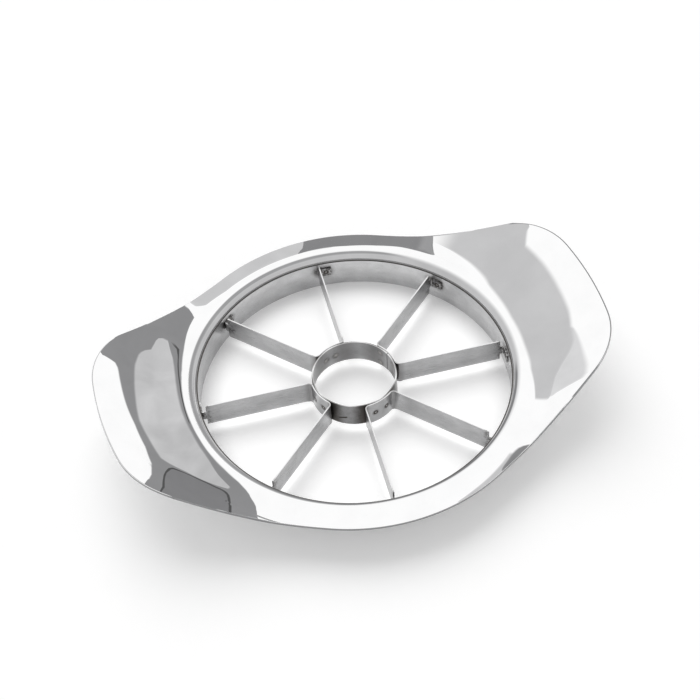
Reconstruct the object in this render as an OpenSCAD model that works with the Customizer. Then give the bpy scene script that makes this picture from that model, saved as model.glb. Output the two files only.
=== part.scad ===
// Hand-pushed apple slicer in stainless steel.
// A pressed sheet frame with two raised wing handles carries a welded-in hoop.
// Four bent blade strips run from the hoop to a split core ring and make eight blades.
// Lengths are in millimetres, angles in degrees.
// The hoop's lower edge rests on the table at z = 0, and the core ring's axis is the Z axis.

/* [Frame plate] */
// Overall length, across the ends of the two wing handles
overall_l = 149.4; // [142:0.2:165]
// Width of the round rim, from the hoop's outer face to the plate's edge
rim_w = 9.2; // [8:0.1:14]
// Thickness of the pressed sheet
sheet_t = 0.8; // [0.5:0.1:1.2]
// Position angle at which the straight flank of a wing leaves the round rim
flank_a = 63.4; // [58:0.1:70]
// Radius of the bowed outer end of a wing
end_r = 100; // [75:1:140]
// Corner radius of a wing, in plan
corner_r = 23; // [14:0.5:26]
// Height of the crown of the rim above the hoop's upper edge
crown_rise = 2; // [1.6:0.1:3]
// Radius of the rounded lip round the opening
lip_r = 2; // [1.6:0.1:2.6]
// Sheet left between the collar's spot welds and its lower edge
collar_margin = 0.7; // [0.5:0.1:1.6]
// Fall of the rim's shoulder, outwards from its crown
shoulder_a = 10.8; // [2:0.1:16]
// Straight width of the rim's shoulder, from the lip to the valley before the wings
shoulder_l = 3.2; // [1:0.1:6]
// Bend radius of the valley
valley_r = 8; // [4:0.5:12]
// Slope of a wing
wing_a = 34; // [20:0.5:40]
// Straight length of a wing's slope
wing_run = 12; // [6:0.5:16]
// Radius of the wing's rounded crest
crest_r = 24; // [14:1:36]

/* [Hoop] */
// Outer diameter of the hoop
hoop_od = 93.2; // [90:0.1:95]
// Thickness of the hoop strip
hoop_t = 0.6; // [0.4:0.1:1]
// Height of the hoop
hoop_h = 9.6; // [9.2:0.1:12]
// Radial clearance between the hoop and the frame's collar
seat_clear = 0.05; // [0.02:0.01:0.2]
// Number of the gap between two blades, counted from the first blade, with the hoop's seam
hoop_seam_gap = 6; // [1:1:6]
// Place of the hoop's seam in that gap, as a share of the gap's turn
hoop_seam_share = 0.7; // [0.2:0.05:0.8]
// Width of the weld that closes the hoop
hoop_seam_w = 1; // [0.6:0.1:2]

/* [Core ring] */
// Outer diameter of the core ring
core_od = 25; // [20:0.1:30]
// Thickness of the core ring strip
core_t = 0.5; // [0.4:0.05:0.8]
// Width of the open seam where the ends of the ring meet
core_seam_w = 0.25; // [0.1:0.05:0.6]

/* [Blades] */
// Height of the blades and of the core ring
blade_h = 8; // [7:0.1:8]
// Height of the cutting edges above the table
blade_lift = 2.2; // [1.8:0.1:2.6]
// Thickness of the blade strip
blade_t = 0.4; // [0.3:0.05:0.6]
// Number of blade strips, each of which makes two blades
strips = 4; // [3:1:4]
// Position angle of the first blade, from the wing axis
first_blade_a = -5.25; // [-12:0.25:12]
// Height of the ground bevel above a cutting edge
bevel_h = 1; // [0.5:0.1:1.2]
// Flat left on a cutting edge
edge_t = 0.1; // [0.05:0.05:0.2]
// Clearance between a blade strip and the core ring it hugs
saddle_clear = 0.12; // [0.05:0.01:0.2]
// Bend radius where a blade leaves the core ring, at mid thickness
saddle_bend_r = 1.2; // [0.8:0.1:2]
// Distance from the hoop at which the full height of a blade ends
blade_gap = 1.5; // [1.2:0.1:2.5]
// Height of the weld tongue on the end of a blade
tongue_h = 3; // [2.4:0.1:4]
// Length of the weld tongue along the hoop
tongue_l = 3.2; // [2.6:0.1:5]
// Bend radius of the weld tongue, at mid thickness
tongue_bend_r = 0.7; // [0.5:0.1:1]
// Clearance between a weld tongue and the hoop
tongue_clear = 0.05; // [0.02:0.01:0.2]

/* [Spot welds] */
// Diameter of a spot weld on the core ring
core_weld_d = 1.6; // [1:0.1:2.2]
// Place of a spot weld on the core ring, as a share of the way from the saddle's middle to its end
core_weld_share = 0.5; // [0.4:0.05:0.6]
// The same share for the spot welds that hold the two ends of the split ring
seam_weld_share = 0.8; // [0.6:0.05:0.8]
// Heights of the spot welds beside the ring's seam, as shares of the ring's height
seam_weld_shares = [0.24, 0.76]; // [0.22:0.02:0.78]
// Diameter of a spot weld on the hoop, which joins tongue, hoop and collar
hoop_weld_d = 1.8; // [1:0.1:2]
// Depth of the dent that a spot weld leaves in each face
dent = 0.08; // [0.04:0.01:0.1]

/* [Hidden] */
// Facets of the round parts
$fn = 180;
// Facets of a spot weld
weld_fn = 12;
// Largest turn between two points of a bent line or a rounded outline
arc_step = 4;
// Length by which a cut runs past the faces it opens
over = 1;

hoop_r = hoop_od / 2;
hoop_in = hoop_r - hoop_t;
core_r = core_od / 2;
core_in = core_r - core_t;
blade_top = blade_lift + blade_h;
blade_mid = blade_lift + blade_h / 2;

collar_r = hoop_r + seat_clear;
crown_z = hoop_h + crown_rise;
collar_z = blade_mid - hoop_weld_d / 2 - collar_margin;
collar_h = crown_z - lip_r - collar_z;
// Height of the prism that trims the sheet to its plan outline, well above the wings
trim_h = overall_l;
// Run of the sheet past the wing's crest, well outside its plan outline
run_out = overall_l / 2;

// Each blade strip fills half of its share of the turn, and the bare ring the other half.
strip_a = 360 / strips;
span = strip_a / 2;
saddle_r = core_r + saddle_clear + blade_t / 2;
saddle_x = sqrt(pow(saddle_r + saddle_bend_r, 2) - pow(saddle_bend_r, 2));
saddle_a = atan2(saddle_bend_r, saddle_x);
blade_end = hoop_in - blade_gap;
tongue_r = hoop_in - tongue_clear - blade_t / 2;
tongue_x = sqrt(pow(tongue_r - tongue_bend_r, 2) - pow(tongue_bend_r, 2));
tongue_a = atan2(tongue_bend_r, tongue_x);
tongue_turn = arc_angle(tongue_l, tongue_r);
core_seam_a = first_blade_a + span / 2;
core_weld_a = core_weld_share * (span / 2 - saddle_a);
seam_weld_a = seam_weld_share * (span / 2 - saddle_a);
hoop_seam_a = first_blade_a + (hoop_seam_gap - 1 + hoop_seam_share) * span;

function unit(a) = [cos(a), sin(a)];
function arc_angle(length, r) = length / r * 180 / PI;
function flipped(list) = [for (i = [len(list) - 1 : -1 : 0]) list[i]];
function arc_points(centre, r, from, to) =
    let (n = ceil(abs(to - from) / arc_step))
    [for (i = [0 : n]) centre + r * unit(from + (to - from) * i / n)];

// Walks along a bent strip. Each step is [straight length, turn to the left, bend radius of the
// walked line], and the result is a list of [point, heading].
function walk(steps, at, heading, k = 0) =
    k == len(steps) ? [[at, heading]] :
    let (run = steps[k][0],
         turn = steps[k][1],
         out = heading - 90 * sign(turn),
         start = at + run * unit(heading),
         centre = start - steps[k][2] * unit(out),
         n = ceil(abs(turn) / arc_step))
    concat(run > 0 ? [[at, heading]] : [],
           [for (i = [0 : 1 : n - 1])
               [centre + steps[k][2] * unit(out + turn * i / n), heading + turn * i / n]],
           walk(steps, centre + steps[k][2] * unit(out + turn), heading + turn, k + 1));

// One face of the strip, so far to the left of the walked line
function face(line, left) = [for (p = line) p[0] + left * unit(p[1] + 90)];
function strip_outline(line, left, right) =
    concat(face(line, left), flipped(face(line, -right)));

// Section of the pressed sheet, walked up the collar's inner face and out over the wing
sheet_line = walk([[collar_h, -90 - shoulder_a, lip_r],
                   [shoulder_l, shoulder_a + wing_a, valley_r],
                   [wing_run, -wing_a, crest_r],
                   [run_out, 0, 0]],
                  [collar_r, collar_z], 90);

// Centre of a wing's corner: it touches the flank and the bowed end from inside
rim_r = hoop_r + rim_w;
end_x = overall_l / 2 - end_r;
flank_y = (rim_r - corner_r) / sin(flank_a);
flank_slope = 1 / tan(flank_a);
quad_a = 1 + pow(flank_slope, 2);
quad_b = end_x + flank_y * flank_slope;
quad_c = pow(end_x, 2) + pow(flank_y, 2) - pow(end_r - corner_r, 2);
corner_x = (quad_b + sqrt(pow(quad_b, 2) - quad_a * quad_c)) / quad_a;
corner_y = flank_y - corner_x * flank_slope;
end_a = atan2(corner_y, corner_x - end_x);

// Plan outline of one quarter of the plate, from the wing axis round to the waist
quarter = concat(arc_points([end_x, 0], end_r, 0, end_a),
                 arc_points([corner_x, corner_y], corner_r, end_a, flank_a),
                 arc_points([0, 0], rim_r, flank_a, 90));
function turned(list, sx, sy) = [for (p = list) [sx * p[0], sy * p[1]]];
plan = concat(quarter, flipped(turned(quarter, -1, 1)),
              turned(quarter, -1, -1), flipped(turned(quarter, 1, -1)));

// Bent line of a whole strip, from one weld tongue round the core ring to the other
strip_line = walk([[0, tongue_turn, tongue_r],
                   [0, 90 + tongue_a, tongue_bend_r],
                   [tongue_x - saddle_x, saddle_a - 90, saddle_bend_r],
                   [0, span - 2 * saddle_a, saddle_r],
                   [0, saddle_a - 90, saddle_bend_r],
                   [tongue_x - saddle_x, -90 - tongue_a, tongue_bend_r],
                   [0, -tongue_turn, tongue_r]],
                  tongue_r * unit(-tongue_a - tongue_turn), 90 - tongue_a - tongue_turn);

// The same line without its tongues, as far as the blades keep their full height
blade_line = walk([[blade_end - saddle_x, saddle_a - 90, saddle_bend_r],
                   [0, span - 2 * saddle_a, saddle_r],
                   [0, saddle_a - 90, saddle_bend_r],
                   [blade_end - saddle_x, 0, 0]],
                  [blade_end, 0], 180);

// Spot welds as [position angle, height]
core_weld_places = concat(
    [for (k = [1 : strips - 1], s = [-1, 1])
        [core_seam_a + k * strip_a + s * core_weld_a, blade_mid]],
    [for (s = [-1, 1], v = seam_weld_shares)
        [core_seam_a + s * seam_weld_a, blade_lift + v * blade_h]]);
hoop_weld_places = [for (k = [0 : strips - 1], a = [0, span])
    [first_blade_a + k * strip_a + a - tongue_a - tongue_turn / 2, blade_mid]];

// A ring between two radii and two heights
module ring(r_in, r_out, z_low, z_high) {
    translate([0, 0, z_low]) difference() {
        cylinder(r = r_out, h = z_high - z_low);
        translate([0, 0, -over]) cylinder(r = r_in, h = z_high - z_low + 2 * over);
    }
}

// Round weld columns that point away from the Z axis, at every place in a list
module columns(places, d, r_from, r_to) {
    for (p = places)
        translate([0, 0, p[1]]) rotate([0, 90, p[0]]) translate([0, 0, r_from])
            cylinder(d = d, h = r_to - r_from, $fn = weld_fn);
}

// The weld nuggets themselves: columns trimmed to the faces, less the dents
module nuggets(places, d, r_in, r_out) {
    intersection() {
        columns(places, d, r_in - over, r_out + over);
        ring(r_in + dent, r_out - dent, 0, blade_top);
    }
}

module frame_plate() {
    color("gainsboro") difference() {
        intersection() {
            rotate_extrude() polygon(strip_outline(sheet_line, 0, sheet_t));
            linear_extrude(trim_h) polygon(plan);
        }
        columns(hoop_weld_places, hoop_weld_d, hoop_in, collar_r + sheet_t + over);
    }
}

module blade_hoop() {
    color("silver") difference() {
        ring(hoop_in, hoop_r, 0, hoop_h);
        hoop_seam_bar(over);
        columns(hoop_weld_places, hoop_weld_d, tongue_r, hoop_r + over);
    }
}

// Upright bar across the hoop's wall at its seam, so much longer than the hoop at both ends
module hoop_seam_bar(longer) {
    rotate([0, 0, hoop_seam_a])
        translate([hoop_in - over, -hoop_seam_w / 2, -longer])
            cube([hoop_t + 2 * over, hoop_seam_w, hoop_h + 2 * longer]);
}

module hoop_seam_weld() {
    color("darkgray") intersection() {
        hoop_seam_bar(0);
        ring(hoop_in, hoop_r, 0, hoop_h);
    }
}

module core_ring() {
    color("gray") translate([0, 0, blade_lift]) difference() {
        rotate_extrude() polygon([[core_r - edge_t, 0], [core_r, 0], [core_r, blade_h],
                                  [core_in, blade_h], [core_in, bevel_h]]);
        rotate([0, 0, core_seam_a]) translate([core_in - over, -core_seam_w / 2, -over])
            cube([core_t + 2 * over, core_seam_w, blade_h + 2 * over]);
        translate([0, 0, -blade_lift])
            columns(core_weld_places, core_weld_d, core_in - over, core_r + over);
    }
}

// Wedge that grinds one side of a blade to its cutting edge
module bevel_cut() {
    translate([saddle_x, 0, 0]) rotate([90, 0, 90]) linear_extrude(blade_end - saddle_x + over)
        polygon([[edge_t / 2, 0], [blade_t / 2, bevel_h], [blade_t / 2 + over, bevel_h],
                 [blade_t / 2 + over, -over], [edge_t / 2, -over]]);
}

module blade_strip(k) {
    color("lightgray") difference() {
        rotate([0, 0, first_blade_a + k * strip_a]) translate([0, 0, blade_lift]) difference() {
            union() {
                linear_extrude(blade_h)
                    polygon(strip_outline(blade_line, blade_t / 2, blade_t / 2));
                translate([0, 0, (blade_h - tongue_h) / 2]) linear_extrude(tongue_h)
                    polygon(strip_outline(strip_line, blade_t / 2, blade_t / 2));
            }
            for (a = [0, span], side = [0, 1])
                rotate([0, 0, a]) mirror([0, side, 0]) bevel_cut();
        }
        columns(core_weld_places, core_weld_d, core_in, saddle_r + over);
        columns(hoop_weld_places, hoop_weld_d, tongue_r - over, hoop_r);
    }
}

module core_spot_welds() {
    color("dimgray") nuggets(core_weld_places, core_weld_d, core_in, saddle_r + blade_t / 2);
}

module hoop_spot_welds() {
    color("dimgray")
        nuggets(hoop_weld_places, hoop_weld_d, tongue_r - blade_t / 2, collar_r + sheet_t);
}

frame_plate();
blade_hoop();
hoop_seam_weld();
core_ring();
blade_strip(0);  // blade_strip_1
blade_strip(1);  // blade_strip_2
blade_strip(2);  // blade_strip_3
blade_strip(3);  // blade_strip_4
core_spot_welds();
hoop_spot_welds();
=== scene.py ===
# Apple slicer in stainless steel: smooth pieces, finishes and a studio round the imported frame.
import math
from bisect import bisect_right

import bmesh
import bpy
from bpy.props import FloatProperty, FloatVectorProperty, PointerProperty
from bpy.types import Operator, Panel, PropertyGroup
from mathutils import Matrix, Vector


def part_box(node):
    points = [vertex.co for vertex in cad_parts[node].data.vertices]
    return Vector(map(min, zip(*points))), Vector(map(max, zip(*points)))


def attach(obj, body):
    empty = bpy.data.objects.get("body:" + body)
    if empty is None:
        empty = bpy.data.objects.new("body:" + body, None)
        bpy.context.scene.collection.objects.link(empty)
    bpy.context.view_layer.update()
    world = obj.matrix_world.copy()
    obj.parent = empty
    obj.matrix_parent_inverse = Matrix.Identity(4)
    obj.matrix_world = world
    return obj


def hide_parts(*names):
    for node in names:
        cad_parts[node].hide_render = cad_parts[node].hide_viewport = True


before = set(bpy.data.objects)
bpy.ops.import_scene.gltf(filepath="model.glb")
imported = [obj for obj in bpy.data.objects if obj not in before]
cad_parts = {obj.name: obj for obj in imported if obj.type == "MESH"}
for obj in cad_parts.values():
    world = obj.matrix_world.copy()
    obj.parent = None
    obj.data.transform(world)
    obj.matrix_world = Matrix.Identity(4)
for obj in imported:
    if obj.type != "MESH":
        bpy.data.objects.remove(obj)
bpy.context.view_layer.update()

bl_info = {
    "name": "Apple slicer",
    "version": (1, 0, 0),
    "blender": (4, 5, 0),
    "location": "3D View > Sidebar > Slicer",
    "description": "Builds a pressed steel apple slicer with eight blades, and a studio for it",
    "category": "Add Mesh",
}

MM = 0.001
QUARTER, ROUND = math.pi / 2, 2 * math.pi
HAIR = 0.001 * MM  # kept free inside the plate's outline
ROUND_STEPS, RING_STEPS, WELD_STEPS, BEAD_STEPS = 360, 240, 24, 6
FLOOR_R, DOME_R = 6.0, 0.9  # radii of the floor and of the dome of cards, in metres
WINDOW = Vector((0.02, 0.64, 0.77))  # the way to the soft light
SCORCH = math.radians(-126)  # position angle of the core ring's scorched line
CARD_STEP, FLAG_STEP, FLAG_ROWS = 4, 1.2, 32  # degrees and rows of the cards' grids
SENSOR = 36  # width of the camera's film, in millimetres
PLATE_LOW, PLATE_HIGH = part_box("frame_plate")
HOOP_LOW, HOOP_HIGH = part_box("blade_hoop")
RING_LOW, RING_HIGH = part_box("core_ring")


def length(name, about, value):
    """A size in metres, given in millimetres."""
    return FloatProperty(name=name, description=about, default=value * MM, min=0.0,
                         subtype="DISTANCE", unit="LENGTH", precision=5)


def turn(name, about, value):
    """An angle, given in degrees."""
    return FloatProperty(name=name, description=about, default=math.radians(value),
                         subtype="ANGLE", unit="ROTATION")


def share(name, about, value):
    """A plain number between 0 and 1."""
    return FloatProperty(name=name, description=about, default=value, min=0.0, max=1.0,
                         subtype="FACTOR")


def tone(name, about, r, g, b):
    """A linear colour."""
    return FloatVectorProperty(name=name, description=about, default=(r, g, b), size=3,
                               min=0.0, max=1.0, subtype="COLOR")


class SlicerPlate(PropertyGroup):
    long: length("Length", "Overall length across the wing handles",
                 (PLATE_HIGH.x - PLATE_LOW.x) / MM)
    wide: length("Width", "Width across the round rim", (PLATE_HIGH.y - PLATE_LOW.y) / MM)
    sheet: length("Sheet", "Thickness of the pressed sheet", 0.8)
    flank: turn("Flank", "Position angle where a wing's flank leaves the rim", 63.4)
    end_r: length("End radius", "Radius of a wing's bowed end", 100)
    corner_r: length("Corner radius", "Radius of a wing's corners in plan", 23)
    collar_r: length("Collar", "Inner radius of the collar", 46.65)
    collar_low: length("Collar edge", "Height of the collar's lower edge", PLATE_LOW.z / MM)
    crown: length("Crown", "Height of the rim's crown", 11.6)
    lip_r: length("Lip radius", "Radius of the lip round the opening", 2)
    fall: turn("Shoulder fall", "Fall of the shoulder from the crown outwards", 10.8)
    shoulder: length("Shoulder", "Straight width of the shoulder", 3.2)
    valley_r: length("Valley radius", "Bend radius of the valley before the wings", 8)
    slope: turn("Wing slope", "Slope of a wing", 34)
    run: length("Wing run", "Straight length of a wing's slope", 12)
    crest_r: length("Crest radius", "Radius of a wing's rounded crest", 24)
    edge: length("Edge rounding", "Rounding of the sheet's cut edges", 0.16)


class SlicerStrip(PropertyGroup):
    hoop_r: length("Hoop radius", "Outer radius of the hoop", 46.6)
    hoop_t: length("Hoop strip", "Thickness of the hoop strip", 0.6)
    hoop_h: length("Hoop height", "Height of the hoop", (HOOP_HIGH.z - HOOP_LOW.z) / MM)
    hoop_seam: turn("Hoop seam", "Position angle of the hoop's closing seam", 251.25)
    hoop_seam_w: length("Hoop seam width", "Width of the weld that closes the hoop", 1)
    core_r: length("Core radius", "Outer radius of the core ring", 12.5)
    core_t: length("Core strip", "Thickness of the core ring strip", 0.5)
    core_seam: turn("Core seam", "Position angle of the core ring's open seam", 17.25)
    core_seam_w: length("Core seam width", "Width of the core ring's open seam", 0.25)
    low: length("Cutting edge", "Height of the cutting edges above the table",
                RING_LOW.z / MM)
    high: length("Blade height", "Height of the blades and the core ring",
                 (RING_HIGH.z - RING_LOW.z) / MM)
    thick: length("Blade strip", "Thickness of the blade strip", 0.4)
    edge: length("Edge flat", "Flat left on a cutting edge", 0.1)
    bevel: length("Bevel", "Height of the ground bevel", 1)
    chamfer: length("Edge break", "Broken edge of the strips", 0.06)
    first: turn("First blade", "Position angle of the first blade", -5.25)
    span: turn("Blade span", "Angle between neighbouring blades", 45)
    saddle_gap: length("Saddle clearance", "Gap between a strip and the core ring", 0.12)
    bend: length("Saddle bend", "Bend radius where a blade leaves the ring", 1.2)
    blade_gap: length("Blade gap", "Distance from the hoop where a blade's height ends", 1.5)
    tongue_h: length("Tongue height", "Height of the weld tongues", 3)
    tongue_l: length("Tongue length", "Length of the weld tongues", 3.2)
    tongue_bend: length("Tongue bend", "Bend radius of the weld tongues", 0.7)
    tongue_gap: length("Tongue clearance", "Gap between a tongue and the hoop", 0.05)


class SlicerWelds(PropertyGroup):
    core_d: length("Core weld", "Diameter of a spot weld on the core ring", 1.6)
    hoop_d: length("Hoop weld", "Diameter of a spot weld on the hoop", 1.8)
    middle: share("Weld place", "Place of a saddle's welds between its middle and end", 0.5)
    beside: share("Seam weld place", "The same for the welds beside the ring's seam", 0.8)
    lower: share("Lower seam weld", "Height of the lower welds beside the seam", 0.24)
    upper: share("Upper seam weld", "Height of the upper welds beside the seam", 0.76)
    rise: length("Weld ridge", "Height of the ridge round a weld's dent", 0.05)


class SlicerFinish(PropertyGroup):
    mirror: tone("Polished steel", "Colour of the polished sheet", 0.98, 0.98, 0.982)
    cut: tone("Cut edge", "Colour of the sheet's cut edges", 0.30, 0.30, 0.305)
    haze: tone("Haze", "Colour of the duller spots of the sheet", 0.70, 0.70, 0.71)
    satin: tone("Satin strip", "Colour of the hoop strip", 0.60, 0.60, 0.605)
    ring: tone("Ring strip", "Colour of the core ring", 0.35, 0.35, 0.355)
    blade: tone("Blade steel", "Colour of the blades", 0.455, 0.455, 0.46)
    # Painted highlight: the near-white glint painted on the strips' flat top and bottom faces
    bright: tone("Painted glint", "Colour of the strips' top edges", 0.96, 0.96, 0.96)
    # Also the colour of the painted shade in the hoop's corners and under the collar
    tint: tone("Heat tint", "Darkest colour round a spot weld", 0.055, 0.048, 0.043)
    weld: tone("Weld metal", "Colour in the middle of a spot weld", 0.42, 0.41, 0.40)


class SlicerStage(PropertyGroup):
    floor: tone("Floor", "Colour of the floor", 0.90, 0.90, 0.90)
    lift: share("Floor lift", "Brightness that the camera adds to the floor", 0.12)
    # Painted light inside the hoop, which lightens the floor's shadows there
    inside: share("Inner lift", "The same, in addition, inside the hoop", 0.20)
    sky: share("Sky", "Strength of the even light from all round", 0.61)
    sun: FloatProperty(name="Window", description="Strength of the soft light from the far side",
                       default=1.57, min=0.0)
    grey: tone("Card behind", "Colour of the card behind the camera", 0.36, 0.36, 0.37)
    dark: tone("Low card", "Colour of the low card all round", 0.21, 0.21, 0.215)
    # Colours of the painted reflections: glowing cards held just over the sheet, shaped from the
    # camera's place
    left: tone("Left flag", "Colour of the flag over the left wing", 0.275, 0.275, 0.28)
    left_patch: tone("Left patch", "Colour of the small flag over the left wing",
                     0.565, 0.565, 0.57)
    left_box: tone("Left box", "Colour of the low flag over the left wing", 0.22, 0.22, 0.225)
    line: tone("Lines", "Colour of the flags' dark borders", 0.09, 0.09, 0.09)
    lip: tone("Lip flag", "Colour of the flag round the lip", 0.52, 0.52, 0.525)
    lip_edge: tone("Lip edge flag", "Colour of the flag along the lip's outer border",
                   0.33, 0.33, 0.335)
    right: tone("Right flag", "Colour of the flag over the right wing", 0.565, 0.565, 0.57)
    right_low: tone("Low right flag", "Colour of the pale flag on the right wing's near side",
                    0.69, 0.69, 0.695)
    far: tone("Far flag", "Colour of the dark flag over the far rim", 0.245, 0.245, 0.25)
    far_left: tone("Far left flag", "Colour of the paler flag over the far rim",
                   0.59, 0.59, 0.595)
    window: turn("Window size", "Angle that the soft light fills", 55)
    turned: turn("Camera turn", "Turn of the camera to the left of the near side", 16.371)
    tilt: turn("Camera tilt", "Angle by which the camera looks down", 49.283)
    roll: turn("Camera roll", "Lean of the camera to its side", 3.92)
    away: length("Camera distance", "Distance of the camera from the slicer", 526.76)
    aside: length("Camera aside", "Shift of the camera to its left", 0.757)
    above: length("Camera above", "Shift of the camera upwards", 13.589)
    lens: FloatProperty(name="Lens", description="Focal length of the camera, in millimetres",
                        default=91.263086, min=1.0)


def sizes(group):
    """One of the scene's groups of sizes and colours."""
    return getattr(bpy.context.scene, f"slicer_{group}")


# Shapes in the plane

def unit(a):
    return Vector((math.cos(a), math.sin(a)))


def walk(steps, at, heading):
    """Points and headings along a bent line, with a point every 2 degrees of a bend. A step
    is a straight length, a turn to the left and the turn's radius."""
    line = []
    at = Vector(at)
    for run, bend, r in steps:
        if run:
            line.append((at.copy(), heading))
            at = at + run * unit(heading)
        if bend:
            out = heading - math.copysign(QUARTER, bend)
            centre = at - r * unit(out)
            n = max(1, math.ceil(abs(bend) / math.radians(2)))
            line += [(centre + r * unit(out + bend * i / n), heading + bend * i / n)
                     for i in range(n)]
            at = centre + r * unit(out + bend)
            heading += bend
    line.append((at, heading))
    return line


def beside(line, left):
    """The face of a bent strip that lies so far to the left of its walked line."""
    return [p + left * unit(a + QUARTER) for p, a in line]


def along(places, values, at):
    """Straight-line value at a place, from places in rising order and their values."""
    i = min(max(bisect_right(places, at), 1), len(places) - 1)
    p, q = places[i - 1], places[i]
    t = (at - p) / (q - p) if q > p else 0.0
    return values[i - 1] + (values[i] - values[i - 1]) * min(max(t, 0.0), 1.0)


def plate_line(s):
    """The visible line of the plate's section, from the collar's edge past the wing's end."""
    rise = s.crown - s.lip_r - s.collar_low
    return walk([(rise, -QUARTER - s.fall, s.lip_r),
                 (s.shoulder, s.fall + s.slope, s.valley_r),
                 (s.run, -s.slope, s.crest_r), (s.wide, 0, 0)],
                (s.collar_r, s.collar_low), QUARTER)


def outward(points):
    """Radii and heights of the part of a face that runs outwards from its crown. The first
    points are those of the collar."""
    crown = next(i for i, (p, q) in enumerate(zip(points, points[1:]))
                 if q.x > p.x and q.y <= p.y and i > 3)
    return [p.x for p in points[crown:]], [p.y for p in points[crown:]]


def wing_outline(s):
    """A function that gives the radius of the plate's outline at a position angle."""
    rim = s.wide / 2
    end_x = s.long / 2 - s.end_r
    flank_y = (rim - s.corner_r) / math.sin(s.flank)
    k = 1 / math.tan(s.flank)
    a = 1 + k * k
    b = end_x + flank_y * k
    c = end_x ** 2 + flank_y ** 2 - (s.end_r - s.corner_r) ** 2
    x = (b + math.sqrt(b * b - a * c)) / a
    y = flank_y - x * k
    end_a = math.atan2(y, x - end_x)

    def arc(cx, cy, r, a0, a1, n):
        return [Vector((cx, cy)) + r * unit(a0 + (a1 - a0) * i / n) for i in range(n + 1)]

    points = (arc(end_x, 0, s.end_r, 0, end_a, 60) + arc(x, y, s.corner_r, end_a, s.flank, 90)
              + arc(0, 0, rim, s.flank, QUARTER, 60))

    def radius(angle):
        d = unit(abs(math.remainder(angle, math.pi)))
        for p, q in zip(points, points[1:]):
            cross_p = d.x * p.y - d.y * p.x
            cross_q = d.x * q.y - d.y * q.x
            if cross_p <= 1e-12 and cross_q >= -1e-12 and (q - p).length > 1e-12:
                t = -cross_p / (cross_q - cross_p) if cross_q != cross_p else 0.0
                return (p + (q - p) * t).length - HAIR
        return rim - HAIR

    return radius


# Meshes

def linked(name, bm):
    """A new object of a bmesh, in the scene."""
    mesh = bpy.data.meshes.new(name)
    bm.to_mesh(mesh)
    bm.free()
    made = bpy.data.objects.new(name, mesh)
    bpy.context.scene.collection.objects.link(made)
    return made


def new_piece(name, bm, material, replaces, sharp=30):
    """Makes a finished piece of a bmesh, in its place in the frame."""
    bmesh.ops.remove_doubles(bm, verts=bm.verts, dist=1e-7)
    bmesh.ops.recalc_face_normals(bm, faces=bm.faces)
    piece = linked(name, bm)
    piece.data.shade_smooth()
    piece.data.set_sharp_from_angle(angle=math.radians(sharp))
    piece.data.materials.append(material)
    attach(piece, "root")
    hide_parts(*replaces)


def loop_of(bm, points):
    """A closed loop of edges through points."""
    verts = [bm.verts.new(p) for p in points]
    edges = [bm.edges.new((a, b)) for a, b in zip(verts, verts[1:] + verts[:1])]
    return verts, edges


def spun_edges(bm, geom, centre, angle, steps):
    """Spins edges about an upright axis and gives the last copy's edges."""
    done = bmesh.ops.spin(bm, geom=geom, cent=centre, axis=(0, 0, 1), dvec=(0, 0, 0),
                          angle=angle, steps=steps, use_merge=False, use_duplicate=False)
    return [e for e in done["geom_last"] if isinstance(e, bmesh.types.BMEdge)]


def turned_edges(bm, geom, steps):
    """Turns a section's half all round the upright axis."""
    bmesh.ops.spin(bm, geom=geom, cent=(0, 0, 0), axis=(0, 0, 1), dvec=(0, 0, 0),
                   angle=ROUND, steps=steps, use_merge=True, use_duplicate=False)


def ring_section(r_in, r_out, low, high, broken):
    """A strip's upright section with broken edges, as points in the XZ plane."""
    rows = ((r_in + broken, low), (r_out - broken, low), (r_out, low + broken),
            (r_out, high - broken), (r_out - broken, high), (r_in + broken, high),
            (r_in, high - broken), (r_in, low + broken))
    return [Vector((r, 0, z)) for r, z in rows]


def rolled_strip(section, start, angle, steps):
    """A strip that is rolled through an angle from a position angle."""
    bm = bmesh.new()
    verts, edges = loop_of(bm, section)
    bm.faces.new(verts)
    bmesh.ops.rotate(bm, verts=verts, cent=(0, 0, 0), matrix=Matrix.Rotation(start, 3, "Z"))
    bmesh.ops.contextual_create(bm, geom=spun_edges(bm, edges, (0, 0, 0), angle, steps))
    return bm


def saddle_line(s):
    """Middle radius of the saddles, and the distance and angle at which their bends begin."""
    r = s.core_r + s.saddle_gap + s.thick / 2
    start = math.sqrt((r + s.bend) ** 2 - s.bend ** 2)
    return r, start, math.atan2(s.bend, start)


def tongue_line(s):
    """Middle radius of the tongues, and the distance and angle at which their bends begin."""
    r = s.hoop_r - s.hoop_t - s.tongue_gap - s.thick / 2
    start = math.sqrt((r - s.tongue_bend) ** 2 - s.tongue_bend ** 2)
    return r, start, math.atan2(s.tongue_bend, start)


# Finishes

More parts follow.
